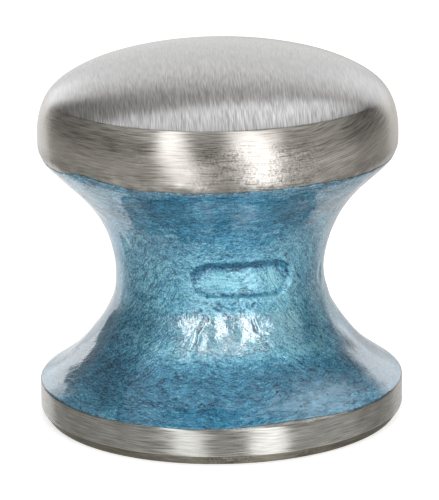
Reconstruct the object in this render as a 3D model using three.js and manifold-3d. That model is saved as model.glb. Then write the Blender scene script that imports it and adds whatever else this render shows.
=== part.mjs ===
import * as THREE from 'three';
import Module from 'manifold-3d';
import { mergeVertices } from 'three/addons/utils/BufferGeometryUtils.js';

// A hand anvil: one drop forging, round like a mushroom on a broad foot. The crowned head, its ground
// side and the foot are bright steel, and the waist between them wears a thick coat of hammered lacquer.
// Millimetres, +Z up, origin at the middle of the foot's flat face. The front looks along -Y.

// Foot, which the anvil stands on and which also serves as its flat striking face
const footRadius = 30;
const footSideHeight = 6;
const footChamferHeight = 1.6;
const footChamferInset = 1.1;

// Waist, where the hand holds it
const waistRadius = 17;
const waistHeight = 24.3;

// Head
const headRadius = 29.4;
const headWidestHeight = 45.8;
const headSideRise = 8.1;
const arrisInset = 1.5;
const crownRise = 7.5;

// Lacquer: its film, the room left between film and steel, and how far short of the head's widest
// line it stops, measured along the surface
const coatThickness = 0.6;
const coatClearance = 0.3;
const coatStop = 2.1;

// Stamped panel on the front of the waist, left plain
const panelLength = 16.3;
const panelHeight = 6;
const panelDepth = 0.9;
const panelCentreHeight = 26.8;
const panelTurn = THREE.MathUtils.degToRad(12.5);
const panelTilt = THREE.MathUtils.degToRad(-2);

// How far each curve keeps its end's direction, as shares of the rise or run that it bridges
const footFlankStartShare = 0.14;
const footFlankWaistShare = 0.53;
const headFlankWaistShare = 0.6;
const headFlankHeadShare = 0.19;
const headSideLowShare = 0.24;
const headSideTopShare = 0.54;
const crownEdgeShare = 0.235;
const crownTopShare = 0.38;

// Slopes, from level, of the foot's flank where it leaves the foot's edge, and of the head's side and
// the crown where they meet at the arris
const footFlankSlope = THREE.MathUtils.degToRad(25);
const headSideSlope = THREE.MathUtils.degToRad(62);
const crownEdgeSlope = THREE.MathUtils.degToRad(51);

// Facets
const sectors = 60;
const footFlankSteps = 10;
const headFlankSteps = 12;
const headSideSteps = 5;
const crownSteps = 8;
const panelEndSteps = 6;

// How far a cutting body runs past what it cuts
const cutOverrun = 1;

const wasm = await Module();
wasm.setup();

const steel = new THREE.MeshStandardMaterial({ color: 0xcbcac6, roughness: 0.32, metalness: 1 });
const lacquer = new THREE.MeshStandardMaterial({ color: 0x3f8fb5, roughness: 0.35, metalness: 0.4 });

// Outline curves. A point's x is its radius and its y is its height.
const headTop = headWidestHeight + headSideRise + crownRise;
const arris = new THREE.Vector2(headRadius - arrisInset, headWidestHeight + headSideRise);
const footEdge = new THREE.Vector2(footRadius, footSideHeight);
const waist = new THREE.Vector2(waistRadius, waistHeight);
const widest = new THREE.Vector2(headRadius, headWidestHeight);

function above(point, rise) {
  return new THREE.Vector2(point.x, point.y + rise);
}

// A point at a distance from another, up a slope that leans in towards the axis
function upSlope(point, slope, distance) {
  return new THREE.Vector2(point.x - distance * Math.cos(slope), point.y + distance * Math.sin(slope));
}

function footFlank() {
  const rise = waistHeight - footSideHeight;
  const leave = upSlope(footEdge, footFlankSlope, rise * footFlankStartShare);
  return new THREE.CubicBezierCurve(footEdge, leave, above(waist, -rise * footFlankWaistShare), waist);
}

function headFlank() {
  const rise = headWidestHeight - waistHeight;
  const leave = above(waist, rise * headFlankWaistShare);
  return new THREE.CubicBezierCurve(waist, leave, above(widest, -rise * headFlankHeadShare), widest);
}

function headSide() {
  const leave = above(widest, headSideRise * headSideLowShare);
  const arrive = upSlope(arris, headSideSlope, -headSideRise * headSideTopShare);
  return new THREE.CubicBezierCurve(widest, leave, arrive, arris);
}

function crown() {
  const leave = upSlope(arris, crownEdgeSlope, arris.x * crownEdgeShare);
  const flat = new THREE.Vector2(arris.x * crownTopShare, headTop);
  return new THREE.CubicBezierCurve(arris, leave, flat, new THREE.Vector2(0, headTop));
}

// Points at even distances along a curve, as far as a share of its length
function points(curve, steps, endShare = 1) {
  return Array.from({ length: steps + 1 }, (_, i) => curve.getPointAt((i / steps) * endShare));
}

// Both flanks as one line from the foot's edge up to where the lacquer stops, or a step beyond it
function waistLine(beyond) {
  const flank = headFlank();
  const stopShare = 1 - (coatStop - beyond) / flank.getLength();
  const lower = points(footFlank(), footFlankSteps);
  return lower.concat(points(flank, headFlankSteps, stopShare).slice(1));
}

// The same line moved into the metal, square to itself
function sunk(line, depth) {
  return line.map((point, i) => {
    const before = line[Math.max(i - 1, 0)];
    const after = line[Math.min(i + 1, line.length - 1)];
    const along = after.clone().sub(before).normalize();
    return new THREE.Vector2(point.x - along.y * depth, point.y + along.x * depth);
  });
}

// Where a line, run on past its first point, reaches a radius
function runOn(line, radius) {
  const [first, second] = line;
  const slope = (second.y - first.y) / (second.x - first.x);
  return new THREE.Vector2(radius, first.y + (radius - first.x) * slope);
}

// Turns an outline, given from the bottom up, about the Z axis
function turned(outline) {
  return new THREE.LatheGeometry(outline, sectors).rotateX(Math.PI / 2);
}

function onAxis(point) {
  return new THREE.Vector2(0, point.y);
}

// A turned core between two heights, closed on the axis
function turnedCore(line) {
  return turned([onAxis(line[0]), ...line, onAxis(line[line.length - 1])]);
}

// Solids for cutting and joining
function solid(geometry) {
  const bare = geometry.clone();
  bare.deleteAttribute('normal');
  bare.deleteAttribute('uv');
  const merged = mergeVertices(bare);
  const corners = merged.index.array;
  const faces = [];
  for (let i = 0; i < corners.length; i += 3) {
    const [a, b, c] = corners.slice(i, i + 3);
    if (a !== b && b !== c && c !== a) faces.push(a, b, c);
  }
  const vertProperties = new Float32Array(merged.attributes.position.array);
  return new wasm.Manifold(new wasm.Mesh({ numProp: 3, vertProperties, triVerts: new Uint32Array(faces) }));
}

function geometryOf(body) {
  const mesh = body.getMesh();
  const geometry = new THREE.BufferGeometry();
  geometry.setAttribute('position', new THREE.BufferAttribute(mesh.vertProperties, 3));
  geometry.setIndex(new THREE.BufferAttribute(mesh.triVerts, 1));
  geometry.computeVertexNormals();
  return geometry;
}

// The panel's outline, a bar with round ends, as a prism that runs from the axis out to the foot's radius
function panelPrism(growth) {
  const half = panelHeight / 2 + growth;
  const straight = (panelLength - panelHeight) / 2;
  const outline = new THREE.Shape();
  outline.absarc(straight, 0, half, -Math.PI / 2, Math.PI / 2, false);
  outline.absarc(-straight, 0, half, Math.PI / 2, Math.PI * 1.5, false);
  outline.closePath();
  const prism = new THREE.ExtrudeGeometry(outline, {
    depth: footRadius,
    bevelEnabled: false,
    curveSegments: panelEndSteps,
  });
  prism.rotateZ(panelTilt);
  prism.rotateX(Math.PI / 2);
  prism.rotateZ(panelTurn);
  prism.translate(0, 0, panelCentreHeight);
  return prism;
}

// Sinks the panel into a solid whose surface lies at a depth below the outer one. The film covers the
// pocket's walls as well, so the pocket in what lies below the film is wider.
function sinkPanel(body, depth) {
  const floor = solid(turnedCore(sunk(waistLine(0), panelDepth + depth)));
  return body.subtract(solid(panelPrism(depth)).subtract(floor));
}

function forgedBody() {
  const recess = sunk(waistLine(coatClearance), coatThickness + coatClearance);
  const flank = headFlank();
  const shoulderShare = 1 - (coatStop - coatClearance) / flank.getLength();
  const outline = [
    new THREE.Vector2(0, 0),
    new THREE.Vector2(footRadius - footChamferInset, 0),
    new THREE.Vector2(footRadius, footChamferHeight),
    runOn(recess, footRadius),
    ...recess,
    flank.getPointAt(shoulderShare),
    ...points(headSide(), headSideSteps),
    ...points(crown(), crownSteps).slice(1),
  ];
  return sinkPanel(solid(turned(outline)), coatThickness + coatClearance);
}

function enamelCoat() {
  const outside = waistLine(0);
  const inside = sunk(outside, coatThickness);
  const lowest = inside[0];
  const highest = inside[inside.length - 1];
  const skin = sinkPanel(solid(turnedCore([lowest, ...outside, highest])), 0);
  const core = turnedCore([above(lowest, -cutOverrun), ...inside, above(highest, cutOverrun)]);
  return skin.subtract(sinkPanel(solid(core), coatThickness));
}

const handAnvil = new THREE.Group();

function place(name, body, material) {
  const mesh = new THREE.Mesh(geometryOf(body), material);
  mesh.name = name;
  handAnvil.add(mesh);
}

place('forged_body', forgedBody(), steel);
place('enamel_coat', enamelCoat(), lacquer);

export default handAnvil;
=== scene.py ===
"""Dresses a round hand anvil: bright ground steel at its crowned head and flat foot, and a coat of
blue hammered lacquer over the rough forged waist between them."""

import math
import random

import bpy
import numpy as np
from bpy.props import FloatProperty, FloatVectorProperty, IntProperty, PointerProperty
from mathutils import Matrix, Vector, noise


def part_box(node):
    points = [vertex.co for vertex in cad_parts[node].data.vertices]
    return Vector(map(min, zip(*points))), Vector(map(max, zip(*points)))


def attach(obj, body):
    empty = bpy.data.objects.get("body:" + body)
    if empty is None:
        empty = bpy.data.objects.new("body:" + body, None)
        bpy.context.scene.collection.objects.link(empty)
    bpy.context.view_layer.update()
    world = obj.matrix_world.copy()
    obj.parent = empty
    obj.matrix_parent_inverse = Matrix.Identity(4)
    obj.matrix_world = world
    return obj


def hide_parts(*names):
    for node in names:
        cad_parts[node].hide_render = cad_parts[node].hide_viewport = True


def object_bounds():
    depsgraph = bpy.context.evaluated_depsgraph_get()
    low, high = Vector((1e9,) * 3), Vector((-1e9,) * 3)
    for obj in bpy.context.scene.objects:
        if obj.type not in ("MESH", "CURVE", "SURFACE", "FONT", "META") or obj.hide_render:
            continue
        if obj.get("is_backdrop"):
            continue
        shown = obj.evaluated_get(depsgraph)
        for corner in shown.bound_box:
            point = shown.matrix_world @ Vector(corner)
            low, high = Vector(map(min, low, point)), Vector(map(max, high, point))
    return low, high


bl_info = {
    "name": "Hand Anvil",
    "version": (1, 0, 0),
    "blender": (4, 5, 0),
    "location": "View3D > Sidebar > Anvil",
    "description": "Builds a ground and lacquered hand anvil round its solid model",
    "category": "Object",
}

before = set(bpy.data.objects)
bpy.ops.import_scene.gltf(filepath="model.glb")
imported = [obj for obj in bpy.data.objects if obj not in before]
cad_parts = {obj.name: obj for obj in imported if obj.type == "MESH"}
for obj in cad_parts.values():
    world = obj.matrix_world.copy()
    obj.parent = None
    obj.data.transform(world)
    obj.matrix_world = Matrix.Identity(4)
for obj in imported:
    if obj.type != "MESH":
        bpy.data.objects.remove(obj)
SOLID_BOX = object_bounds()
STEEL_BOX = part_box("forged_body")
COAT_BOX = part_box("enamel_coat")

MM = 0.001
FOOT_RADIUS = STEEL_BOX[1][0]
HEIGHT = STEEL_BOX[1][2]
COAT_TOP = COAT_BOX[1][2]


def length(name, description, default):
    return FloatProperty(name=name, description=description, default=default, unit="LENGTH")


def angle(name, description, degrees):
    default = math.radians(degrees)
    return FloatProperty(name=name, description=description, default=default, subtype="ANGLE")


def colour(name, description, default):
    return FloatVectorProperty(name=name, description=description, default=default, subtype="COLOR")


class AnvilSizes(bpy.types.PropertyGroup):
    """Sizes of the turned shape and of the stamped panel"""

    foot_radius: length("Foot radius", "Radius of the flat foot", FOOT_RADIUS)
    foot_edge: length("Foot edge", "Height of the foot's upper edge", 6 * MM)
    chamfer_height: length("Chamfer height", "Height of the foot's chamfer", 1.6 * MM)
    chamfer_inset: length("Chamfer inset", "How far the chamfer cuts in", 1.1 * MM)
    waist_radius: length("Waist radius", "Radius at the narrowest place", 17 * MM)
    waist_height: length("Waist height", "Height of the narrowest place", 24.3 * MM)
    head_radius: length("Head radius", "Radius of the head at its widest", 29.4 * MM)
    head_widest: length("Head's widest height", "Height of the widest line", 45.8 * MM)
    side_rise: length("Side rise", "From the widest line up to the arris", 8.1 * MM)
    arris_inset: length("Arris inset", "How far the arris lies inside", 1.5 * MM)
    height: length("Height", "From the foot's face to the crown's top", HEIGHT)
    coat_top: length("Lacquer line", "Mean height where the lacquer stops", COAT_TOP)
    panel_length: length("Panel length", "Length of the stamped panel", 16.3 * MM)
    panel_width: length("Panel width", "Width of the stamped panel", 6 * MM)
    panel_depth: length("Panel depth", "Depth of the stamped panel", 0.9 * MM)
    panel_height: length("Panel height", "Height of the panel's middle", 26.8 * MM)
    panel_turn: angle("Panel turn", "Turn of the panel from the front", 12.5)
    panel_tilt: angle("Panel tilt", "Lean of the panel in its own plane", -2)


class AnvilRelief(bpy.types.PropertyGroup):
    """How rough the forging skin is under the lacquer, and how even the ground faces are"""

    swell: length("Swells", "Depth of the broad unevenness", 0.22 * MM)
    wrinkle: length("Wrinkles", "Depth of the wrinkled skin", 0.07 * MM)
    pebble: length("Pebbles", "Depth of the fine pebbling", 0.015 * MM)
    film: length("Film", "How far the lacquer stands proud of the steel", 0.1 * MM)
    grind: length("Grinding waves", "Depth of the waves in the ground faces", 0.025 * MM)
    ragged: length("Ragged edge", "Raggedness of the lacquer's upper edge", 0.22 * MM)
    seed: IntProperty(name="Seed", description="Seed of the small dents", default=11)


class AnvilFinish(bpy.types.PropertyGroup):
    """Colours of steel and lacquer"""

    steel: colour("Steel", "Colour of the ground steel", (0.59, 0.565, 0.53))
    bright_steel: colour("Crown steel", "Colour of the linished crown", (0.578, 0.575, 0.58))
    # The foot's steel is more neutral in hue than the head's, and darker as painted shade
    foot_steel: colour("Foot steel", "Colour of the ground foot", (0.475, 0.472, 0.448))
    dull_steel: colour("Chamfer steel", "Colour of the turned chamfer", (0.59, 0.55, 0.46))
    # The deep blue and the pale blue are the ends of the lacquer's tone, which carries painted light and
    # shade as well as the grain
    blue_dark: colour("Deep blue", "Lacquer in the creases", (0.011, 0.068, 0.130))
    blue_mid: colour("Blue", "Lacquer over the most part", (0.086, 0.36, 0.555))
    blue_light: colour("Pale blue", "Lacquer on the high spots", (0.34, 0.77, 0.92))
    # Paler blue in ragged patches low on the waist
    patch_blue: colour("Bloom", "Chalky lacquer near the foot", (0.42, 0.62, 0.76))
    # This dark colour is rust, and also the painted shadow along the lacquer film's edges
    rust_and_shadow: colour("Rust", "Specks and the lacquer's edge", (0.024, 0.024, 0.019))


class AnvilStudio(bpy.types.PropertyGroup):
    """Camera, floor and light"""

    distance: length("Camera distance", "From the camera to the anvil", 537.3 * MM)
    aim_height: length("Aim height", "Height the camera looks at", 28 * MM)
    elevation: angle("Elevation", "Camera's height above level", 15.59)
    tip: angle("Tip", "Camera's tip from its aim", -0.09)
    roll: angle("Roll", "Camera's roll about its view", 0.89)
    lens: FloatProperty(
        name="Lens", description="Focal length, in millimetres", default=235.25, subtype="DISTANCE_CAMERA"
    )
    floor_radius: length("Floor radius", "Radius of the pale floor", 6.0)
    floor_colour: colour("Floor", "Colour of the floor", (0.9, 0.9, 0.9))


# Outline of the turned shape, as rows of (radius, height) from the foot's edge up

CURVE_POINTS = 400


def bezier(*points):
    """Points along a cubic curve."""
    t = np.linspace(0.0, 1.0, CURVE_POINTS)[:, None]
    start, leave, arrive, end = (np.array(p) for p in points)
    ends = (1 - t) ** 3 * start + t**3 * end
    return ends + 3 * t * (1 - t) ** 2 * leave + 3 * t**2 * (1 - t) * arrive


def up_slope(point, slope, distance):
    """A point at a distance from another, up a slope that leans in towards the axis."""
    return (point[0] - distance * math.cos(slope), point[1] + distance * math.sin(slope))


# Slopes, from level, of the foot's flank at the foot's edge, and of the head's side and the crown where
# they meet at the arris
FLANK_SLOPE = math.radians(25)
SIDE_SLOPE = math.radians(62)
CROWN_SLOPE = math.radians(51)

# How far each curve keeps its end's direction, as shares of the rise or run that it bridges
FOOT_FLANK_START_SHARE = 0.14
FOOT_FLANK_WAIST_SHARE = 0.53
HEAD_FLANK_WAIST_SHARE = 0.6
HEAD_FLANK_HEAD_SHARE = 0.19
SIDE_LOW_SHARE = 0.24
SIDE_TOP_SHARE = 0.54
CROWN_EDGE_SHARE = 0.235
CROWN_TOP_SHARE = 0.38


def widest_point(sizes):
    return (sizes.head_radius, sizes.head_widest)


def arris_point(sizes):
    return (sizes.head_radius - sizes.arris_inset, sizes.head_widest + sizes.side_rise)


def waist_line(sizes):
    """From the foot's upper edge over the waist to the head's widest line."""
    edge = (sizes.foot_radius, sizes.foot_edge)
    waist = (sizes.waist_radius, sizes.waist_height)
    widest = widest_point(sizes)
    low_rise = sizes.waist_height - sizes.foot_edge
    high_rise = sizes.head_widest - sizes.waist_height
    leave = up_slope(edge, FLANK_SLOPE, FOOT_FLANK_START_SHARE * low_rise)
    arrive = (waist[0], waist[1] - FOOT_FLANK_WAIST_SHARE * low_rise)
    lower = bezier(edge, leave, arrive, waist)
    leave = (waist[0], waist[1] + HEAD_FLANK_WAIST_SHARE * high_rise)
    arrive = (widest[0], widest[1] - HEAD_FLANK_HEAD_SHARE * high_rise)
    upper = bezier(waist, leave, arrive, widest)
    return np.concatenate([lower, upper[1:]])


def head_side(sizes):
    """From the head's widest line up to the arris."""
    widest, arris = widest_point(sizes), arris_point(sizes)
    leave = (widest[0], widest[1] + SIDE_LOW_SHARE * sizes.side_rise)
    arrive = up_slope(arris, SIDE_SLOPE, -SIDE_TOP_SHARE * sizes.side_rise)
    return bezier(widest, leave, arrive, arris)


def crown_line(sizes):
    """From the arris up to the top of the crown."""
    arris = arris_point(sizes)
    leave = up_slope(arris, CROWN_SLOPE, CROWN_EDGE_SHARE * arris[0])
    flat = (CROWN_TOP_SHARE * arris[0], sizes.height)
    return bezier(arris, leave, flat, (0.0, sizes.height))


NO_LENGTH = 1e-12  # stands for a length of nothing where it divides
NORMAL_REACH = 0.15 * MM  # how far along a line its direction is measured, to both sides


class Line:
    """A line of (radius, height) points that can be asked for places and normals along its length."""

    def __init__(self, points):
        self.points = points
        steps = np.hypot(*np.diff(points, axis=0).T)
        self.along = np.concatenate([[0.0], np.cumsum(steps)])
        self.length = self.along[-1]

    def at(self, distance):
        """Radius and height at each distance."""
        return (np.interp(distance, self.along, self.points[:, 0]),
                np.interp(distance, self.along, self.points[:, 1]))

    def normal(self, distance):
        """Outward normal at each distance, as its radial and upward parts."""
        ahead = self.at(np.clip(distance + NORMAL_REACH, 0.0, self.length))
        behind = self.at(np.clip(distance - NORMAL_REACH, 0.0, self.length))
        run, rise = ahead[0] - behind[0], ahead[1] - behind[1]
        size = np.maximum(np.hypot(run, rise), NO_LENGTH)
        return rise / size, -run / size

    def where(self, height):
        """Distance at which the line reaches a height."""
        return float(np.interp(height, self.points[:, 1], self.along))


FINE_PLACES = 2000
FINE_TURNS = 4000


def paced(low, high, spacing, samples):
    """Fine places from low to high, and how many steps, as wide as spacing says, lie below each."""
    fine = np.linspace(low, high, samples)
    density = 1.0 / spacing(fine)
    steps = (density[1:] + density[:-1]) / 2 * np.diff(fine)
    return fine, np.concatenate([[0.0], np.cumsum(steps)])


def spread(low, high, spacing):
    """Places from low to high, as far apart as spacing says at each place."""
    fine, count = paced(low, high, spacing, FINE_PLACES)
    steps = max(2, round(count[-1]))
    return np.interp(np.linspace(0.0, count[-1], steps + 1), count, fine)


def smooth(value, low, high):
    """0 below low, 1 above high and a soft step between them."""
    t = np.clip((value - low) / (high - low), 0.0, 1.0)
    return t * t * (3.0 - 2.0 * t)


def bell(distance, width):
    """1 at no distance, falling off softly over the width."""
    return np.exp(-((distance / width) ** 2))


def check_sizes(sizes):
    """Raises an error for sizes that can't make the shape."""
    if not 0.0 < sizes.waist_radius < min(sizes.foot_radius, sizes.head_radius):
        raise ValueError("the waist has to be narrower than the foot and the head")
    heights = (0.0, sizes.chamfer_height, sizes.foot_edge, sizes.waist_height, sizes.coat_top,
               sizes.head_widest, sizes.head_widest + sizes.side_rise, sizes.height)
    if any(upper <= lower for lower, upper in zip(heights, heights[1:])):
        raise ValueError("the heights have to rise from the chamfer to the crown")


# Turned meshes. Azimuth 0 is the front, -Y, and grows to the right.


def azimuths(count, fine_middle, fine_half, gain):
    """A round of azimuths, set closer together round the middle of a fine stretch."""
    fading = math.radians(15)

    def spacing(turn):
        away = np.abs((turn - fine_middle + math.pi) % (2 * math.pi) - math.pi)
        return 1.0 + gain * smooth(away, fine_half, fine_half + fading)

    fine, total = paced(-math.pi, math.pi, spacing, FINE_TURNS)
    return np.interp(np.linspace(0.0, total[-1], count + 1)[:-1], total, fine)


def ring_points(radius, height, turn):
    """Places in the anvil's frame for arrays of radius and height at each azimuth."""
    return np.stack([radius * np.sin(turn), -radius * np.cos(turn), height * np.ones_like(turn)], -1)


def turned_mesh(name, grid, wrapped=False):
    """A mesh from rows of rings that run round the axis. Both ends close in a point on the axis, or the
    last row joins the first."""
    index = np.arange(grid.shape[0] * grid.shape[1]).reshape(grid.shape[:2])
    lower, upper = (index, np.roll(index, -1, axis=0)) if wrapped else (index[:-1], index[1:])
    quads = np.stack([lower, np.roll(lower, -1, axis=1), np.roll(upper, -1, axis=1), upper], -1)
    faces = quads.reshape(-1, 4).tolist()
    verts = grid.reshape(-1, 3).tolist()
    if not wrapped:
        for ring in (index[0, ::-1].tolist(), index[-1].tolist()):
            pole = [0.0, 0.0, verts[ring[-1]][2]]
            faces += [(a, b, len(verts)) for a, b in zip(ring, ring[1:] + ring[:1])]
            verts.append(pole)
    mesh = bpy.data.meshes.new(name)
    mesh.from_pydata(verts, [], faces)
    mesh.update()
    mesh.shade_smooth()
    piece = bpy.data.objects.new(name, mesh)
    bpy.context.scene.collection.objects.link(piece)
    return piece


def sampled(points, scale, shift, value_at):
    """A noise's value at each point, with a wavelength of scale and moved by a shift."""
    shift = Vector(shift)
    return np.array([value_at(Vector(point) / scale + shift) for point in points])


def cloud(points, scale, octaves, offset=0.0):
    """Soft noise from about -1 to 1."""

    def value_at(place):
        return noise.fractal(place, 0.8, 2.1, octaves, noise_basis="PERLIN_ORIGINAL")

    return sampled(points, scale, (offset, 0.37 * offset, -0.61 * offset), value_at)


def ridges(points, scale, offset):
    """Creased noise from 0 to 1, for wrinkles."""

    def value_at(place):
        return 1.0 - min(1.0, abs(noise.noise(place) + 0.45 * noise.noise(place * 2.13)) * 1.6)

    return sampled(points, scale, (offset, -0.53 * offset, 0.29 * offset), value_at)


# The lacquer's edges: where the upper one reaches highest and where the lower one stays furthest from the
# foot's edge, each as middle, width and height, and the upper one's waves, as count, start and height
TONGUE = (math.radians(-46), math.radians(11), 1.155 * MM)
LIFT = (math.radians(22), math.radians(17), 0.75 * MM)
EDGE_WAVES = ((2, 0.8, 0.16 * MM), (5, -0.4, 0.10 * MM))
LOWEST_START = 0.02 * MM
USUAL_START = 0.12 * MM


def lacquer_edges(sizes, relief, line, turn):
    """Where the lacquer starts and stops along the waist line, at each azimuth."""
    tongue, lift = (height * bell(turn - middle, width) for middle, width, height in (TONGUE, LIFT))
    waves = sum(height * np.sin(count * turn + start) for count, start, height in EDGE_WAVES)
    circle = ring_points(sizes.head_radius, 0.0, turn)
    ragged = cloud(circle, 3.2 * MM, 4, 4.0) + 0.5 * cloud(circle, 0.9 * MM, 2, 9.0)
    top = line.where(sizes.coat_top) + tongue + waves + relief.ragged * ragged
    low = USUAL_START + lift + 0.05 * MM * cloud(circle, 2.4 * MM, 3, 2.0)
    return np.maximum(low, LOWEST_START), top


def panel_depth(sizes, points):
    """How deep the stamped panel is at each point, how far the point belongs to the panel, and how much
    painted shade and painted highlight its lacquer gets."""
    turn = sizes.panel_turn
    across = points[:, 0] * math.cos(turn) + points[:, 1] * math.sin(turn)
    outward = points[:, 0] * math.sin(turn) - points[:, 1] * math.cos(turn)
    up = points[:, 2] - sizes.panel_height
    tilt = sizes.panel_tilt
    along = across * math.cos(tilt) + up * math.sin(tilt)
    up = up * math.cos(tilt) - across * math.sin(tilt)

    # How far outside the panel's wavering outline each point lies
    straight = (sizes.panel_length - sizes.panel_width) / 2
    edge = np.hypot(np.maximum(np.abs(along) - straight, 0.0), up) - sizes.panel_width / 2
    edge = edge + 0.10 * MM * cloud(points, 1.7 * MM, 2, 21.0)

    # The floor is deepest at the top, and the wall there is the widest
    wall = (0.45 + 0.95 * smooth(up, -1.5 * MM, 2.2 * MM)) * MM
    tilted = 0.72 + 0.28 * smooth(up, -2.5 * MM, 2.5 * MM)
    depth = sizes.panel_depth * tilted * smooth(-edge, -0.2 * MM, wall)

    # The lip that the stamp raised, highest below the panel
    lip = 0.10 * MM * bell(edge - 0.45 * MM, 0.38 * MM)
    lip *= 0.3 + 0.7 * smooth(along * 0.35 - up, -1.5 * MM, 3.0 * MM)

    # Painted shade in the groove, broad along the upper wall that faces down and thin along the lower inner
    # edge, and painted highlights on the lip below the panel and over the floor
    lower = smooth(along * 0.3 - up, -1.0 * MM, 3.0 * MM)
    upper = smooth(up - 0.10 * along, -0.6 * MM, 1.9 * MM)
    painted_shading = -0.78 * upper * smooth(-edge, -0.4 * MM, 0.0) * smooth(edge, -2.4 * MM, -1.8 * MM)
    painted_shading += -0.55 * (1 - upper) * bell(edge + 0.42 * MM, 0.13 * MM)
    painted_shading += 0.5 * lower * bell(edge - 0.12 * MM, 0.26 * MM)
    painted_shading += 0.42 * smooth(-edge, 1.2 * MM, 1.7 * MM)
    front = smooth(outward, 2 * MM, 6 * MM)
    return (depth - lip) * front, smooth(-edge, 0.0, 0.5 * MM) * front, painted_shading * front


# What marks the forging skin. A place is a turn in degrees and a height in millimetres, and the other
# sizes are in millimetres too.

SWELLINGS = (  # turn, height, width, rise
    (43, 19, 6.0, 0.42),
    (-50, 23, 6.5, 0.30),
    (150, 20, 7, 0.3),
    (-140, 26, 8, 0.3),
)
SEAMS = (  # places along the crease, depth, width
    (((-9, 19.8), (-12.0, 18.7), (-12.4, 17.2), (-14.5, 15.8)), 0.15, 0.24),
    (((-15, 20.8), (-11, 21.8), (-7, 20.5)), 0.12, 0.26),
    (((-3, 22.2), (2, 21.2), (7, 20.6), (12, 20.8)), 0.14, 0.26),
    (((14, 22.7), (16, 22.0), (18.5, 22.8)), 0.13, 0.24),
    (((17, 20.0), (18, 18.4)), 0.12, 0.24),
    (((-2, 23.0), (3, 22.3), (8, 22.0), (12, 21.6)), 0.13, 0.22),
    (((171, 25.0), (176, 21.0), (173, 17.0)), 0.07, 0.34),
    (((-118, 18.0), (-112, 21.5)), 0.06, 0.34),
)
DENTS = (  # how many, and the ranges of their turn, height, width and depth
    (9, (-20, 30), (14, 22.5), (1.3, 2.4), (0.06, 0.16)),
    (46, (-180, 180), (10, 40), (0.5, 1.6), (0.05, 0.16)),
)
DENT_STRETCH = (0.6, 1.6)
PALE_PATCHES = (  # turn, height, width, tallness, amount
    (34, 8.0, 12.0, 2.8, 0.95),
    (-62, 7.4, 3.0, 0.9, 0.6),
)


def beside(points, degrees, height):
    """How far each point lies from a place on the skin, round the axis and upwards."""
    radius = np.hypot(points[:, 0], points[:, 1])
    turn = np.arctan2(points[:, 0], -points[:, 1])
    away = (turn - math.radians(degrees) + math.pi) % (2 * math.pi) - math.pi
    return away * radius, points[:, 2] - height * MM


def worked_skin(points):
    """How rough the skin is, from 0 to 1: roughest at the front, in patches elsewhere."""
    across, up = beside(points, 4, 22)
    front = bell(across, 9.5 * MM) * bell(up, 9 * MM)
    across, _ = beside(points, 180, 22)
    behind = smooth(-np.abs(across), -24 * MM, -12 * MM)
    patches = smooth(cloud(points, 11 * MM, 2, 13.0), -0.1, 0.5)
    return np.clip(front + 0.75 * behind * patches + 0.12 * patches, 0.0, 1.0)


def bulges(points):
    """Low swellings that the hammer left in the waist."""
    out = np.zeros(len(points))
    for degrees, height, width, rise in SWELLINGS:
        out += rise * MM * bell(np.hypot(*beside(points, degrees, height)), width * MM)
    return out


def seams(points):
    """Cold shuts: short wandering creases that the forging left."""
    out = np.zeros(len(points))
    wobble = 0.22 * MM * cloud(points, 1.1 * MM, 2, 31.0)
    for path, depth, width in SEAMS:
        start_turn, start_height = path[0]
        across, up = beside(points, start_turn, start_height)
        near = (np.abs(across) < 9 * MM) & (np.abs(up) < 12 * MM)
        radius = np.hypot(points[near, 0], points[near, 1])
        here = np.stack([across[near], up[near]], -1)
        corners = [
            np.stack([np.radians(degrees - start_turn) * radius,
                      np.full(len(radius), (height - start_height) * MM)], -1)
            for degrees, height in path
        ]
        gap = np.full(len(radius), 1.0)
        for start, end in zip(corners, corners[1:]):
            run = end - start
            share = np.clip(((here - start) * run).sum(-1) / (run**2).sum(-1), 0.0, 1.0)
            gap = np.minimum(gap, np.linalg.norm(here - start - share[:, None] * run, axis=-1))
        gap = np.maximum(gap + wobble[near], 0.0) / (width * MM)
        raised = 0.3 * bell(gap - 2.0, 1.0)
        out[near] += depth * MM * (bell(gap, 1.0) - raised)
    return out


def pale_patches(points):
    """Where the lacquer is paler in ragged patches low on the waist, from 0 to 1."""
    out = np.zeros(len(points))
    for degrees, height, width, tallness, amount in PALE_PATCHES:
        across, up = beside(points, degrees, height)
        out += amount * bell(across, width * MM) * bell(up, tallness * MM)
    ragged = 0.35 * cloud(points * np.array([0.7, 0.7, 1.2]), 1.3 * MM, 3, 17.0)
    return smooth(out + ragged, 0.2, 1.1)


def small_dents(relief, points):
    """Shallow forging dents in the skin below the panel and here and there round the waist."""
    draw = random.Random(relief.seed)
    out = np.zeros(len(points))
    places = [[draw.uniform(*span) for span in spans] for count, *spans in DENTS for _ in range(count)]
    for degrees, height, width, depth in places:
        across, up = beside(points, degrees, height)
        stretch = draw.uniform(*DENT_STRETCH)
        gap = np.hypot(across * stretch, up / stretch) / (width * MM)
        raised = 0.35 * bell(gap - 1.5, 0.5)
        out += depth * MM * (bell(gap, 1.0) - raised)
    return out


# Shader trees

WHITE = (1.0, 1.0, 1.0, 1.0)


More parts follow.
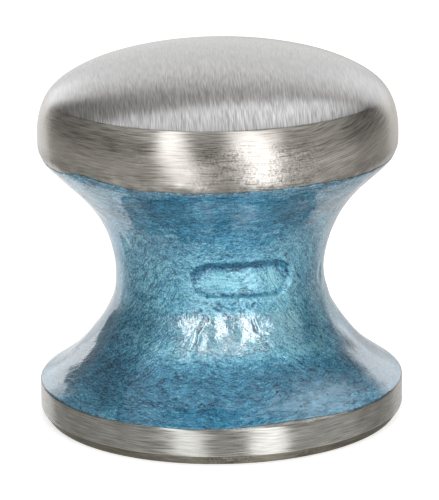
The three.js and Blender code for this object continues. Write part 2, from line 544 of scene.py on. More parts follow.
class Tree:
    """Adds nodes to a shader tree and wires them up."""

    def __init__(self, tree):
        self.tree = tree
        tree.nodes.clear()

    def add(self, kind, inputs=(), output=0, **settings):
        """Adds a node, sets its settings and inputs, and gives back one of its outputs."""
        node = self.tree.nodes.new(kind)
        for key, value in settings.items():
            setattr(node, key, value)
        for key, value in dict(inputs).items():
            if isinstance(value, bpy.types.NodeSocket):
                self.tree.links.new(value, node.inputs[key])
            else:
                node.inputs[key].default_value = value
        return node.outputs[output] if node.outputs else node

    def math(self, operation, *values):
        return self.add("ShaderNodeMath", enumerate(values), operation=operation)

    def times(self, product, *factors):
        for factor in factors:
            product = self.math("MULTIPLY", product, factor)
        return product

    def plus(self, total, *parts):
        """Adds values to another, each times its own amount."""
        for value, amount in parts:
            total = self.math("MULTIPLY_ADD", value, amount, total)
        return total

    def centred(self, value):
        """A noise moved so that it varies about nothing."""
        return self.math("SUBTRACT", value, 0.5)

    def vector(self, operation, *values, **more):
        return self.add("ShaderNodeVectorMath", {**dict(enumerate(values)), **more}, operation=operation)

    def scaled(self, vector, scale):
        return self.vector("SCALE", vector, Scale=scale)

    def split(self, vector):
        """The three parts of a vector."""
        return self.add("ShaderNodeSeparateXYZ", {0: vector}).node.outputs

    def point(self, x, y, z):
        return self.add("ShaderNodeCombineXYZ", {0: x, 1: y, 2: z})

    def attribute(self, name):
        """A value that the mesh keeps for each of its points."""
        return self.add("ShaderNodeAttribute", output=2, attribute_name=name)

    def line(self, value, low, high, bottom=0.0, top=1.0, **settings):
        """A straight ramp from bottom to top as value goes from low to high."""
        inputs = {"Value": value, "From Min": low, "From Max": high, "To Min": bottom, "To Max": top}
        return self.add("ShaderNodeMapRange", inputs, **settings)

    def step(self, *values):
        """The same as line, but soft at both ends."""
        return self.line(*values, interpolation_type="SMOOTHSTEP")

    def region(self, *steps):
        """1 where all of the steps are past and 0 where one isn't, each given as value, low and high."""
        return self.times(*(self.step(*step) for step in steps))

    def between(self, share, a, b):
        """Mixes two values."""
        return self.add("ShaderNodeMix", {0: share, 2: a, 3: b})

    def mix(self, share, a, b):
        """Mixes two colours or directions."""
        return self.add("ShaderNodeMix", {0: share, 6: a, 7: b}, 2, data_type="RGBA")

    def noise(self, vector, scale, detail=2.0, roughness=0.5, distortion=0.0, output=0):
        inputs = {"Vector": vector, "Scale": scale, "Detail": detail, "Roughness": roughness,
                  "Distortion": distortion}
        return self.add("ShaderNodeTexNoise", inputs, output)

    def ramp(self, value, *stops):
        """A colour ramp with the given stops of place and colour."""
        colours = self.add("ShaderNodeValToRGB", {0: value})
        ramp = colours.node.color_ramp
        while len(ramp.elements) < len(stops):
            ramp.elements.new(1.0)
        for element, (place, rgb) in zip(ramp.elements, stops):
            element.position = place
            element.color = rgba(rgb)
        return colours

    def bump(self, height, depth, strength=1.0):
        """A normal for a relief of the given depth."""
        return self.add("ShaderNodeBump", {"Strength": strength, "Distance": depth, "Height": height})

    def surface(self, kind, inputs, output="ShaderNodeOutputMaterial"):
        """Ends the tree in a shader."""
        self.add(output, {"Surface": self.add(kind, inputs)})


def rgba(rgb):
    return (*rgb, 1.0)


def new_material(name):
    material = bpy.data.materials.new(name)
    material.use_nodes = True
    return material, Tree(material.node_tree)


def anvil_place(t):
    """The place on the anvil, in millimetres."""
    return t.scaled(t.add("ShaderNodeTexCoord", output=3), 1.0 / MM)


def around(t, place):
    """Turn round the axis from the front, and the same as a place on a unit circle."""
    x, y, _ = t.split(place)
    return t.math("ARCTAN2", x, t.times(y, -1.0)), t.vector("NORMALIZE", t.point(x, y, 0.0))


def lacquer_material(finish):
    """Blue metallic lacquer, hammered by the rough skin below it, under a clear glossy top."""
    material, t = new_material("hammered_blue_lacquer")
    place = anvil_place(t)
    _, _, z = t.split(place)
    turn, circle = around(t, place)
    side = t.math("ABSOLUTE", turn)
    painted_shading, edge, worked, along, pale_patch = map(t.attribute, ("painted_shading", "edge", "worked", "along", "pale_patch"))

    # The grain runs round the waist, bent where the hot steel flowed, and is steep on the flanks
    bend = t.centred(t.noise(place, 0.12, 1.0))
    flow = t.plus(along, (bend, t.step(z, 36.0, 28.0, 1.0, 5.0)))
    level = t.vector("ADD", t.scaled(circle, 8.5), t.point(0.0, 0.0, flow))
    arc = t.times(side, 17.0)
    steep = t.point(t.times(t.plus(arc, (flow, -1.3)), 0.22), turn, t.times(t.plus(flow, (arc, 1.3)), 0.61))
    flank = t.times(t.region((side, 0.25, 0.6), (side, 1.5, 1.1), (z, 8.0, 12.5), (z, 37.0, 31.0)), 0.8)

    def stroked(scale, detail, roughness):
        """Noise in strokes along the grain."""
        return t.between(flank, *(t.noise(grain, scale, detail, roughness) for grain in (level, steep)))

    fine = stroked(3.6, 2.0, 0.65)
    skin = stroked(1.3, 4.0, 0.7)
    grit = t.noise(place, 3.9, 1.0, 0.5)
    broad = t.noise(place, 0.2, 3.0, 0.6)
    pebble = t.noise(place, 0.55, 2.0, 0.5, 0.6)
    crossing = t.math("ABSOLUTE", t.centred(stroked(0.5, 4.0, 0.6)))
    crease = t.region((crossing, 0.03, 0.0), (broad, 0.36, 0.5))
    lively = t.times(
        t.step(side, 1.0, 1.3, 1.0, 0.55), t.step(z, 11.0, 16.0, 0.72, 1.0), t.step(side, 0.3, 0.7, 1.0, 1.15)
    )

    # Tone, from deep to pale: the grain, darkened in its creases as painted shade, then what the mesh keeps
    # and broad regions, which are painted light and shade
    grains = ((t.centred(fine), 1.4), (t.centred(grit), 1.1), (t.centred(broad), 0.7), (crease, -0.2))
    tone = t.plus(0.52, (t.plus(t.centred(skin), *grains), lively))
    # Painted shade low on the waist, deepest towards the sides, a slight painted highlight on the worked
    # skin, and the painted shade and highlights that the mesh keeps for the panel and the creases
    tone = t.plus(tone, (t.step(z, 15.0, 11.0), t.step(side, 0.2, 0.7, -0.16, -0.2)))
    tone = t.plus(tone, (worked, 0.05), (painted_shading, 0.55))
    # Broad painted light and shade, each an amount and its bands: a painted highlight on the belly below the
    # panel, lighter along the foot's edge, painted light right of the middle and on both sides, painted shade
    # under the head, painted shadows low on the left and the right, and painted shade towards the silhouettes
    for amount, *steps in (
        (0.16, (z, 12.0, 16.5), (z, 36.0, 26.0), (side, 0.95, 0.45)),
        (0.08, (z, 8.6, 6.8)),
        (0.08, (z, 12.0, 15.0), (z, 24.0, 21.0), (turn, 0.1, 0.35), (turn, 1.0, 0.65)),
        (0.09, (z, 12.0, 15.0), (z, 36.0, 32.0), (turn, 0.35, 0.65)),
        (0.09, (z, 20.0, 23.0), (z, 36.0, 30.0), (turn, -0.75, -0.95)),
        (-0.13, (z, 34.0, 38.0)),
        (-0.08, (z, 20.0, 16.0), (z, 9.5, 12.5), (turn, -0.35, -0.6)),
        (-0.08, (z, 18.5, 15.5), (z, 10.5, 13.0), (turn, 0.8, 1.0)),
        (-0.08, (side, 1.0, 1.25)),
    ):
        tone = t.plus(tone, (t.region(*steps), amount))
    blue = t.ramp(tone, (0.05, finish.blue_dark), (0.50, finish.blue_mid), (0.95, finish.blue_light))
    # Paler blue in ragged patches low on the waist
    blue = t.mix(t.times(pale_patch, 0.5), blue, rgba(finish.patch_blue))

    # Rust and a painted shadow in a thin dark line along the film's edges, and a speck of rust in some of the
    # cells
    jitter = t.scaled(t.noise(place, 2.2, 2.0, output=1), 0.9)
    cells = {"Vector": t.vector("ADD", place, jitter), "Scale": 0.62}
    gap, cell = (t.add("ShaderNodeTexVoronoi", cells, output) for output in range(2))
    lot = t.split(cell)[0]
    speck = t.region((t.plus(gap, (lot, -0.16)), 0.06, 0.0), (lot, 0.53, 0.55))
    edge_rust_and_shadow = t.step(t.plus(edge, (fine, 0.22)), 0.27, 0.12)
    rust_and_edge_shadow = t.math("MAXIMUM", t.times(speck, 0.7), t.times(edge_rust_and_shadow, 0.85))

    # Relief of the blue film, and the gentler relief of the clear top
    relief = t.plus(skin, (fine, 0.4), (grit, 0.3), (crease, -0.45), (pebble, 0.9))
    relief = t.times(relief, lively, t.line(worked, 0.0, 1.0, 0.75, 1.0))
    wavy = t.times(t.step(z, 32.0, 38.0, 0.14, 0.26), t.step(side, 0.9, 1.15, 1.0, 0.4))
    soft = t.times(pebble, t.line(worked, 0.0, 1.0, 0.14, 0.8))
    soft = t.plus(soft, (stroked(1.1, 1.0, 0.5), wavy), (crease, -0.12))
    soft = t.plus(soft, (grit, t.line(worked, 0.3, 1.0, 0.0, 0.42)))
    soft = t.times(soft, t.step(side, 0.95, 1.15, 1.0, 0.4))

    # How strongly the clear top mirrors: most on the worked skin below the panel and low at both ends
    index = t.math("ADD", t.step(z, 12.0, 17.0, 1.48, 1.62), t.step(z, 30.0, 36.0, 0.0, 0.38))
    glossy = t.region((z, 14.0, 16.5), (z, 22.0, 20.0), (side, 0.9, 0.6))
    index = t.plus(index, (worked, t.times(glossy, 2.7)))
    glancing = t.times(t.region((side, 1.0, 1.22), (side, 1.95, 1.65)), t.step(z, 27.0, 18.0, 0.35, 1.0))
    t.surface("ShaderNodeBsdfPrincipled", {
        "Base Color": t.mix(rust_and_edge_shadow, blue, rgba(finish.rust_and_shadow)),
        "Metallic": t.plus(0.76, (rust_and_edge_shadow, -0.6)),
        "Roughness": t.plus(t.line(tone, 0.0, 1.0, 0.44, 0.34), (worked, 0.08)),
        "Normal": t.bump(relief, 0.17 * MM),
        "Coat Weight": t.plus(1.0, (rust_and_edge_shadow, -0.7)),
        "Coat Roughness": t.line(worked, 0.2, 1.0, 0.035, 0.11),
        "Coat IOR": t.math("MAXIMUM", index, t.plus(1.0, (glancing, 2.6))),
        "Coat Normal": t.bump(soft, 0.12 * MM),
    })
    return material


def brushed(t, fine_grain, coarse_grain):
    """Fine and coarse brush lines."""
    return t.noise(fine_grain, 6.2, 1.0, 0.5), t.noise(coarse_grain, 2.6, 1.0, 0.5)


def linished(t, place):
    """Brush lines that run over the crown from front to back."""
    x, y, z = t.split(place)
    wander = t.plus(t.times(y, 0.06), (t.noise(place, 0.05, 1.0), 2.0))
    across = t.math("ADD", x, wander)
    return brushed(t, *(t.point(across, t.times(y, along), t.times(z, along)) for along in (0.06, 0.05)))


def ground_round(t, place):
    """Brush lines that run round a side, leaning upwards on the right."""
    turn, circle = around(t, place)
    _, _, z = t.split(place)
    lean = t.times(t.step(turn, 0.4, 1.9, 0.0, 7.5), t.region((turn, 3.1, 2.0), (z, 20.0, 30.0)))
    sway = t.noise(t.scaled(circle, 2.6), 1.0, 2.0)
    up = t.point(0.0, 0.0, t.math("SUBTRACT", t.math("ADD", z, sway), lean))
    return brushed(t, *(t.vector("ADD", t.scaled(circle, along), up) for along in (1.3, 1.2)))


def steel_material(name, finish, metal, roughness, contrast, painted_shading=1.0, crown=False, pitting=0.0):
    """Ground steel. Brush lines run round the side, and over the crown where it is linished."""
    material, t = new_material(name)
    place = anvil_place(t)
    x, y, z = t.split(place)
    turn, circle = around(t, place)
    normal = t.add("ShaderNodeNewGeometry", output=1)
    ring = t.vector("CROSS_PRODUCT", (0.0, 0.0, 1.0), circle)
    tangent = t.vector("NORMALIZE", t.vector("CROSS_PRODUCT", normal, ring))
    grain = t.noise(place, 0.45, 3.0, 0.6)
    lines = ground_round(t, place)
    deep, blotched, uneven = contrast, 0.2, 0.36
    if crown:
        over = t.attribute("linished")
        lines = [t.between(over, *pair) for pair in zip(lines, linished(t, place))]
        sideways = t.vector("NORMALIZE", t.vector("CROSS_PRODUCT", normal, (0.0, 1.0, 0.0)))
        sideways = t.scaled(sideways, t.math("SIGN", x))
        tangent = t.vector("NORMALIZE", t.mix(over, tangent, sideways))
        deep = t.line(y, -22.0, -10.0, 1.5 * contrast, 0.55 * contrast)
        deep = t.times(deep, t.step(t.math("ABSOLUTE", x), 10.0, 24.0, 1.0, 1.2))
        blotched, uneven = 0.10, t.line(over, 0.0, 1.0, 0.30, 0.05)
    fine, coarse = map(t.centred, lines)
    tone = t.plus(painted_shading, (fine, deep), (coarse, 0.03 * contrast), (t.centred(grain), blotched))
    height = t.plus(lines[0], (lines[1], 0.2))
    if pitting:
        pits = t.centred(t.noise(place, 2.9, 2.0, 0.6, 0.5))
        patch = t.noise(t.vector("ADD", place, (4.0, 0.0, 9.0)), 0.11, 2.0, 0.5)
        front = t.region((turn, -0.25, 0.0), (turn, 0.7, 0.42), (patch, 0.34, 0.5))
        where = t.math("MAXIMUM", t.step(patch, 0.62, 0.72), front)
        pitted = t.times(where, t.step(z, 53.0, 50.2), pits)
        tone = t.plus(tone, (pitted, 2.1 * pitting))
        height = t.plus(height, (pitted, 2.0 * pitting))
    if crown:
        height = t.times(height, t.line(over, 0.0, 1.0, 1.0, 0.55))
        ground = t.math("SUBTRACT", 1.0, over)
        # A painted shadow in a thin dark line along the arris at the front, and painted shade low on the
        # crown at the right
        arris = t.times(over, ground, t.step(t.math("ABSOLUTE", turn), 1.15, 0.95))
        rolled = t.times(over, t.region((z, 58.0, 54.5), (turn, 0.9, 1.2)))
        tone = t.plus(tone, (arris, -1.8), (rolled, -0.2))
    metal = t.mix(over, rgba(metal), rgba(finish.bright_steel)) if crown else tuple(metal)
    toned = t.scaled(metal, t.math("MAXIMUM", tone, 0.2))
    if crown:
        stain = t.times(t.region((z, 48.0, 44.6), (grain, 0.3, 0.65)), ground, 0.40)
        toned = t.mix(stain, toned, rgba(finish.rust_and_shadow))
    t.surface("ShaderNodeBsdfPrincipled", {
        "Base Color": toned,
        "Metallic": 1.0,
        "Roughness": t.plus(roughness, (fine, uneven), (coarse, 0.04)),
        "Anisotropic": 0.85,
        "Tangent": tangent,
        "Normal": t.bump(height, 0.02 * MM, strength=0.6),
    })
    return material


# The studio's light: a dome that the steel and the lacquer mirror, while the camera sees a plain pale wall


def studio_dome():
    world = bpy.data.worlds.new("studio_dome")
    bpy.context.scene.world = world
    world.use_nodes = True
    t = Tree(world.node_tree)
    x, y, z = t.split(t.add("ShaderNodeTexCoord", output=0))
    turn = t.math("ARCTAN2", x, t.times(y, -1.0))
    off = t.math("ABSOLUTE", turn)
    rise = t.math("ARCSINE", z)
    leaning = t.plus(turn, (rise, 0.22))
    low = t.step(z, 0.03, -0.06)

    def step(value, start, end, *levels):
        """A soft step between two angles in degrees."""
        return t.step(value, math.radians(start), math.radians(end), *levels)

    def within(value, start, end, soft):
        """1 between two angles in degrees, with soft ends."""
        return t.times(step(value, start - soft, start + soft), step(value, end + soft, end - soft))

    # Where each direction meets a ceiling at a height of 1
    safe_rise = t.math("MAXIMUM", z, 0.02)
    over_x, over_y = (t.math("DIVIDE", part, safe_rise) for part in (x, y))

    # The wall behind the anvil, brighter where it is high and beside the back
    left_turn = t.math("ADD", t.plus(turn, (low, math.radians(-10))), math.radians(145.6))
    left_turn = t.times(left_turn, step(rise, 24, 42, 1.0, 0.06), t.plus(1.0, (low, -0.6)))
    wall_right = t.times(step(turn, 131, 146), t.plus(1.0, (low, -0.42)))
    wall_round = t.math("ADD", step(left_turn, 1.6, -1.6), wall_right)
    beside_left = t.times(within(rise, 2, 22, 3), within(turn, -163, -139, 4))
    beside_right = t.times(within(rise, 2, 26, 4), within(turn, 139, 163, 4))
    wall_high = t.plus(0.12, (t.step(over_y, 0.7, 1.6), 0.62), (beside_left, 0.5), (beside_right, 0.35))

    # Tall strips at both sides of the front, mirrored in the table, with a hot spot in each
    table = t.times(step(rise, 4, -6), step(rise, -62, -30))
    strips = t.plus(
        within(leaning, -35.5, -16, 3), (within(leaning, 14.5, 37, 3), 1.2),
        (within(leaning, 36, 92, 9), 0.12), (within(leaning, -88, -36, 9), 0.05),
    )
    strips = t.times(strips, t.plus(within(rise, 2, 46, 6), (table, 0.84)))
    hot = t.plus(within(leaning, 31, 48, 2), (within(leaning, -33, -24, 2), 0.7))
    hot = t.times(hot, within(rise, 19, 31, 3))
    middle = t.times(step(off, 22, 10), within(rise, -50, 62, 8))

    # A box of light overhead, and the ceiling round it
    back_edge = t.plus(over_y, (over_x, -0.45), (t.math("ABSOLUTE", over_x), -0.15))
    box_rise = t.plus(z, (t.step(over_x, 0.0, -0.4), -0.25))
    box = t.region(
        (back_edge, -0.93, -0.77), (back_edge, 0.52, 0.36),
        (over_x, -2.7, -1.2), (over_x, 1.5, 0.7), (box_rise, 0.3, 0.45),
    )
    ceiling = t.times(t.region((z, 0.5, 0.75), (over_y, -0.5, 0.3)), t.step(over_x, -0.5, 0.5, 0.16, 0.34))
    pool = t.times(step(rise, -21, -38), step(off, 125, 95))
    haze = t.times(within(rise, 16, 40, 5), within(turn, -135, -88, 8))

    light = t.plus(
        0.12, (wall_round, wall_high), (strips, 1.75), (hot, 2.4), (middle, 0.08), (box, 0.74),
        (ceiling, 0.85), (low, t.plus(0.26, (wall_round, -0.20))), (pool, 0.18), (haze, 0.12),
    )
    warm = t.mix(light, (1.0, 0.95, 0.88, 1.0), WHITE)
    dome = t.add("ShaderNodeBackground", {"Color": warm, "Strength": light})
    seen_wall = t.add("ShaderNodeBackground", {"Color": WHITE, "Strength": 1.0})
    seen = t.add("ShaderNodeLightPath", output=0)
    t.surface("ShaderNodeMixShader", {0: seen, 1: dome, 2: seen_wall}, "ShaderNodeOutputWorld")


FLOOR_SIDES = 96
FLOOR_DROP = 0.02 * MM  # keeps the floor off the foot's face


def studio_floor(settings):
    """A plain pale floor, which the dome lights and the camera sees nearly white."""
    mesh = bpy.data.meshes.new("floor")
    turn = np.linspace(0.0, 2 * math.pi, FLOOR_SIDES, endpoint=False)
    rim = ring_points(settings.floor_radius, -FLOOR_DROP, turn)
    mesh.from_pydata(rim.tolist(), [], [tuple(range(FLOOR_SIDES))])
    floor = bpy.data.objects.new("floor", mesh)
    bpy.context.scene.collection.objects.link(floor)
    material, t = new_material("pale_floor")
    matt = t.add("ShaderNodeBsdfDiffuse", {"Color": rgba(settings.floor_colour)})
    glow = t.add("ShaderNodeEmission", {"Color": WHITE, "Strength": 0.60})
    t.surface("ShaderNodeAddShader", {0: matt, 1: glow})
    mesh.materials.append(material)
    floor.visible_glossy = False
    floor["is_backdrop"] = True


def studio_camera(settings):
    elevation = settings.elevation
    place = Vector((0.0, -math.cos(elevation), math.sin(elevation))) * settings.distance
    place.z += settings.aim_height
    view = Vector((0.0, math.cos(elevation), -math.sin(elevation)))
    right = Vector((1.0, 0.0, 0.0))
    up = right.cross(view)
    tip = Matrix.Rotation(settings.tip, 3, right)
    view, up = tip @ view, tip @ up
    roll = Matrix.Rotation(settings.roll, 3, view)
    right, up = roll @ right, roll @ up
    data = bpy.data.cameras.new("camera")
    data.lens = settings.lens
    data.sensor_width = 36.0
    data.clip_start = 0.01
    camera = bpy.data.objects.new("camera", data)
    axes = Matrix((right, up, -view)).transposed()
    camera.matrix_world = Matrix.Translation(place) @ axes.to_4x4()
    bpy.context.scene.collection.objects.link(camera)
    bpy.context.scene.camera = camera


# Pieces


HEAD_STEEL, FACE_STEEL, CHAMFER_STEEL, FOOT_STEEL = range(4)  # the forging's materials, in their order
FOOT_ROWS = 14
SOFT_EDGE = 0.16 * MM  # how far the chamfer's edges are rounded
WAIST_SUNK = 1.6 * MM  # how deep the forging's waist lies below the outline

# The arris is averaged over the crisp width at the front and back and over the rolled one at both sides,
# and goes from one to the other between two turns.
CRISP_WIDTH = 0.10 * MM
ROLLED_WIDTH = 1.5 * MM
ROLL_TURNS = np.radians([54, 74])
EVEN_STEP = 0.02 * MM
NEAREST_AXIS = 0.02 * MM

# How far apart the rows lie: distances from the head's arris or from the coat's edges, and a step for each
HEAD_SPACING = np.array([[0.0, 0.5, 1.6, 8.0, 25.0], [0.08, 0.1, 0.3, 0.45, 0.9]]) * MM
COAT_SPACING = np.array([[0.0, 0.5, 2.0, 5.0], [0.07, 0.14, 0.27, 0.33]]) * MM
PANEL_SPACING = 0.17 * MM
PANEL_REACH = 4.2 * MM
INNER_ROWS = 26

CREASE_SHADE = 5.0 / MM  # painted shade in a crease: how much darker the lacquer is, for its depth


def evened(line, width):
    """The line's points at even steps, each one averaged with its neighbours over a width."""
    places = np.arange(0.0, line.length, EVEN_STEP)
    reach = int(3 * width / EVEN_STEP)
    kernel = np.exp(-0.5 * (np.arange(-reach, reach + 1) * EVEN_STEP / width) ** 2)
    kernel /= kernel.sum()
    out = []
    for values in line.at(places):
        before = 2 * values[0] - values[reach:0:-1]
        after = 2 * values[-1] - values[-2:-reach - 2:-1]
        out.append(np.convolve(np.concatenate([before, values, after]), kernel, "valid"))
    return places, out


def foot_rows(sizes):
    """Rings of the foot, from its face to the lacquer: radius, height, grinding waves, material."""
    foot, rise = sizes.foot_radius, sizes.chamfer_height
    face = foot - sizes.chamfer_inset
    heading = math.atan2(rise, sizes.chamfer_inset)
    soft_out, soft_up = SOFT_EDGE * math.cos(heading), SOFT_EDGE * math.sin(heading)
    rows = [(radius, 0.0, 0.0, FACE_STEEL) for radius in np.linspace(2 * MM, face - 0.3 * MM, FOOT_ROWS)]
    rows += [(face - SOFT_EDGE, 0.0, 0.0, CHAMFER_STEEL), (face, SOFT_EDGE * 0.25, 0.0, CHAMFER_STEEL)]
    rows += [(face + soft_out, soft_up, 0.0, CHAMFER_STEEL)]
    for share in (0.25, 0.5, 0.75):
        rows.append((face + share * sizes.chamfer_inset, share * rise, 0.0, CHAMFER_STEEL))
    rows += [(foot - soft_out, rise - soft_up, 0.2, CHAMFER_STEEL)]
    rows += [(foot - 0.04 * MM, rise, 0.3, FOOT_STEEL), (foot, rise + SOFT_EDGE, 0.5, FOOT_STEEL)]
    for height in np.linspace(rise + 0.5 * MM, sizes.foot_edge - 0.35 * MM, FOOT_ROWS):
        rows.append((foot, height, 1.0, FOOT_STEEL))
    rows += [(foot - 0.03 * MM, sizes.foot_edge - 0.12 * MM, 0.5, FOOT_STEEL)]
    return rows


def waist_rows(sizes):
    """Rings of the waist, sunk out of sight below the lacquer."""
    waist = Line(waist_line(sizes))
    stop = waist.where(sizes.coat_top)

    def spacing(distance):
        return np.where(distance > stop - 3 * MM, 0.3, 0.9) * MM

    rows = []
    for distance in spread(0.05 * MM, waist.length, spacing)[:-1]:
        radius, height = waist.at(distance)
        out, up = waist.normal(distance)
        under = smooth(distance, 1.0 * MM, 3.5 * MM) * smooth(stop - distance, 0.8 * MM, 3.5 * MM)
        under *= WAIST_SUNK
        waves = smooth(distance, stop - 2 * MM, stop)
        rows.append((radius - out * under, height - up * under, waves, HEAD_STEEL))
    return rows


def head_rings(sizes, turn):
    """Rings of the head from its widest line to the crown's top. The arris is crisp at the front and
    back and rolls over softly at both sides. Gives the rings and how far each place belongs to the
    linished crown."""
    side = head_side(sizes)
    head = Line(np.concatenate([side, crown_line(sizes)[1:]]))
    arris = Line(side).length
    places, crisp = evened(head, CRISP_WIDTH)
    _, rolled = evened(head, ROLLED_WIDTH)
    roll = smooth(np.abs(np.sin(turn)), *np.sin(ROLL_TURNS))

    def spacing(distance):
        return np.interp(np.abs(distance - arris), *HEAD_SPACING)

    rings, crown = [], []
    for distance in spread(0.0, places[-1], spacing):
        sharp, blunt = ([np.interp(distance, places, values) for values in line] for line in (crisp, rolled))
        radius, height = (a + (b - a) * roll for a, b in zip(sharp, blunt))
        rings.append(ring_points(np.maximum(radius, NEAREST_AXIS), height, turn))
        width = 0.15 * MM + 2.2 * MM * roll
        crown.append(smooth(distance - arris, -width, width))
    return np.stack(rings), np.array(crown)


def store(mesh, name, values):
    """Keeps a value for each point of a mesh, which its material reads."""
    mesh.attributes.new(name, "FLOAT", "POINT").data.foreach_set("value", values.astype(np.float32))


def make_forging(sizes, relief, finish):
    """The forging: ground and linished head, sunk waist, turned chamfer and ground foot."""
    turn = azimuths(400, 0.0, math.radians(75), 0.6)
    rows = foot_rows(sizes) + waist_rows(sizes)
    head, crown = head_rings(sizes, turn)
    grid = np.concatenate([np.stack([ring_points(row[0], row[1], turn) for row in rows]), head])

    # Grinding waves, which fade out towards the axis
    waves = np.concatenate([[row[2] for row in rows], np.ones(len(head))])
    flat = grid.reshape(-1, 3)
    push = cloud(flat, 14 * MM, 2, 3.0) + 0.16 * cloud(flat * np.array([0.5, 0.5, 1.0]), 2.6 * MM, 2, 8.0)
    push = relief.grind * push.reshape(grid.shape[:2]) * waves[:, None]
    push *= np.minimum(1.0, np.hypot(grid[..., 0], grid[..., 1]) / (8 * MM))
    grid = grid + push[..., None] * ring_points(1.0, 0.0, turn)

    piece = turned_mesh("ground_forging", grid)
    mesh = piece.data
    for material in (
        steel_material("ground_head_steel", finish, finish.steel, 0.30, 1.0, crown=True, pitting=1.0),
        steel_material("foot_face_steel", finish, finish.foot_steel, 0.42, 1.0),
        # The chamfer's steel is darkened as painted shade, where it faces down into the anvil's own shadow
        steel_material("turned_chamfer_steel", finish, finish.dull_steel, 0.60, 1.0, painted_shading=0.48, pitting=0.6),
        steel_material("ground_foot_steel", finish, finish.foot_steel, 0.28, 1.7),
    ):
        mesh.materials.append(material)

    # Faces run row by row, and the two ends that close on the axis come last
    kinds = np.array([row[3] for row in rows] + [HEAD_STEEL] * len(head))
    index = np.repeat(np.append(kinds[:-1], kinds[[0, -1]]), len(turn))
    mesh.polygons.foreach_set("material_index", index.astype(np.int32))
    over = np.concatenate([np.zeros((len(rows), len(turn))), crown])
    store(mesh, "linished", np.append(over, [0.0, 1.0]))
    mesh.update()
    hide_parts("forged_body")
    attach(piece, "root")


def make_lacquer(sizes, relief, finish):
    """The coat: an outer skin with the forging's relief in it, and a plainer one inside."""
    line = Line(np.concatenate([waist_line(sizes), head_side(sizes)[1:]]))
    turn = azimuths(430, sizes.panel_turn, math.radians(34), 1.1)
    low, top = lacquer_edges(sizes, relief, line, turn)
    nominal = line.where(sizes.coat_top)
    panel_low = line.where(sizes.panel_height - PANEL_REACH)
    panel_high = line.where(sizes.panel_height + PANEL_REACH)

    def spacing(distance):
        plain = np.interp(np.minimum(distance, nominal - distance), *COAT_SPACING)
        panel = smooth(distance, panel_low - 2 * MM, panel_low)
        panel *= smooth(-distance, -panel_high - 2 * MM, -panel_high)
        return plain + (PANEL_SPACING - plain) * panel

    # Rows run level over most of the waist, and follow the wavy edges near both ends
    base = spread(0.0, nominal, spacing)
    lift = smooth(base, nominal - 7 * MM, nominal)[:, None]
    drop = smooth(-base, -4 * MM, 0.0)[:, None]
    place = base[:, None] + lift * (top - nominal) + drop * low
    edge = np.minimum(place - low, top - place)
    radius, height = line.at(place)
    out, up = line.normal(place)
    flat = ring_points(radius, height, turn).reshape(-1, 3)

    swell = cloud(flat, 9 * MM, 2, 1.0)
    wrinkle = ridges(flat * np.array([0.8, 0.8, 1.15]), 2.3 * MM, 5.0) - 0.5
    pebble = cloud(flat, 0.75 * MM, 2, 7.0)
    sunk, floor, painted_shading = panel_depth(sizes, flat)
    sunk = sunk.reshape(edge.shape)
    worked = worked_skin(flat)
    calm = (0.25 + 0.75 * worked) * (1.0 + 0.6 * floor)
    creases = seams(flat) * (1.0 - floor)
    shape = relief.swell * swell + (relief.wrinkle * wrinkle + relief.pebble * pebble) * calm
    shape += bulges(flat) - creases - small_dents(relief, flat) * (1.0 - floor)
    shape = shape.reshape(edge.shape) * smooth(edge, 0.1 * MM, 2.4 * MM) - sunk
    film = relief.film * np.sqrt(np.clip(edge / (0.35 * MM), 0.0, 1.0))

    def moved(amount, rows=slice(None)):
        """The rings moved outwards, square to the outline."""
        return ring_points(radius[rows] + out[rows] * amount, height[rows] + up[rows] * amount, turn)

    inner_rows = np.unique(np.linspace(0, len(base) - 1, INNER_ROWS).round().astype(int))[::-1]
    depth = 0.3 * MM * smooth(edge[inner_rows], 1.6 * MM, 4.5 * MM) + sunk[inner_rows]
    outer = moved(shape + film + 0.01 * MM)
    inner = moved(0.004 * MM - depth, inner_rows)
    piece = turned_mesh("lacquer_coat", np.concatenate([outer, inner]), wrapped=True)
    # The lacquer gets the panel's painted shade and highlights, and painted shade along the creases
    values = {
        "edge": edge.reshape(-1) / MM,
        "painted_shading": painted_shading - CREASE_SHADE * creases,
        "worked": worked,
        "along": np.repeat(base / MM, len(turn)),
        "pale_patch": pale_patches(flat),
    }
    unseen = np.zeros(inner.shape[0] * inner.shape[1])
    for name, outer_values in values.items():
        store(piece.data, name, np.concatenate([outer_values, unseen]))
    piece.data.materials.append(lacquer_material(finish))
    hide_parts("enamel_coat")
    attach(piece, "root")


class ANVIL_OT_studio(bpy.types.Operator):
    """Set up the floor, the light and the camera"""

    bl_idname = "anvil.studio"
    bl_label = "Set up the studio"

    def execute(self, context):
        settings = context.scene.anvil_studio
        studio_dome()
        studio_floor(settings)
        studio_camera(settings)
        context.scene.view_settings.view_transform = "Standard"
        return {"FINISHED"}


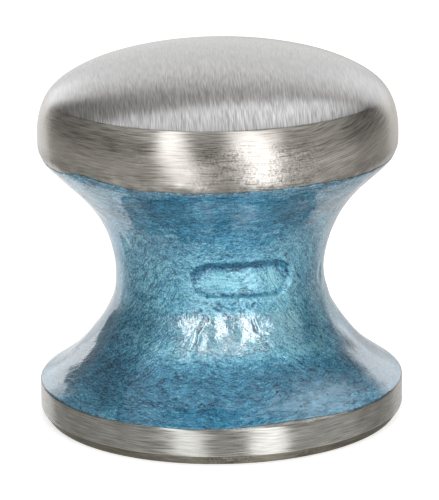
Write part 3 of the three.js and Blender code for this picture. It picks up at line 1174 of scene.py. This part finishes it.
class ANVIL_OT_forging(bpy.types.Operator):
    """Make the forging with its ground head and foot"""

    bl_idname = "anvil.forging"
    bl_label = "Make the forging"

    def execute(self, context):
        scene = context.scene
        check_sizes(scene.anvil_sizes)
        make_forging(scene.anvil_sizes, scene.anvil_relief, scene.anvil_finish)
        return {"FINISHED"}


class ANVIL_OT_lacquer(bpy.types.Operator):
    """Coat the waist with hammered lacquer"""

    bl_idname = "anvil.lacquer"
    bl_label = "Coat the waist"

    def execute(self, context):
        scene = context.scene
        check_sizes(scene.anvil_sizes)
        make_lacquer(scene.anvil_sizes, scene.anvil_relief, scene.anvil_finish)
        return {"FINISHED"}


class ANVIL_PT_sidebar(bpy.types.Panel):
    """Lists the anvil's sizes, colours and steps"""

    bl_label = "Hand Anvil"
    bl_idname = "ANVIL_PT_sidebar"
    bl_space_type = "VIEW_3D"
    bl_region_type = "UI"
    bl_category = "Anvil"

    def draw(self, context):
        layout = self.layout
        for group in GROUPS:
            layout.label(text=group.__doc__)
            settings = getattr(context.scene, GROUPS[group])
            for name in group.__annotations__:
                layout.prop(settings, name)
        for operator in OPERATORS:
            layout.operator(operator.bl_idname)


GROUPS = {
    AnvilSizes: "anvil_sizes",
    AnvilRelief: "anvil_relief",
    AnvilFinish: "anvil_finish",
    AnvilStudio: "anvil_studio",
}
OPERATORS = (ANVIL_OT_studio, ANVIL_OT_forging, ANVIL_OT_lacquer)
CLASSES = (*GROUPS, *OPERATORS, ANVIL_PT_sidebar)


def register():
    for cls in CLASSES:
        bpy.utils.register_class(cls)
    for group, name in GROUPS.items():
        setattr(bpy.types.Scene, name, PointerProperty(type=group))


def unregister():
    for name in GROUPS.values():
        delattr(bpy.types.Scene, name)
    for cls in reversed(CLASSES):
        bpy.utils.unregister_class(cls)


def main():
    register()
    bpy.ops.anvil.studio()
    bpy.ops.anvil.forging()
    bpy.ops.anvil.lacquer()
    boxes = {"solid": SOLID_BOX, "dressed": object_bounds()}
    sizes = {name: [list(map(float, corner)) for corner in box] for name, box in boxes.items()}


if __name__ == "__main__":
    main()
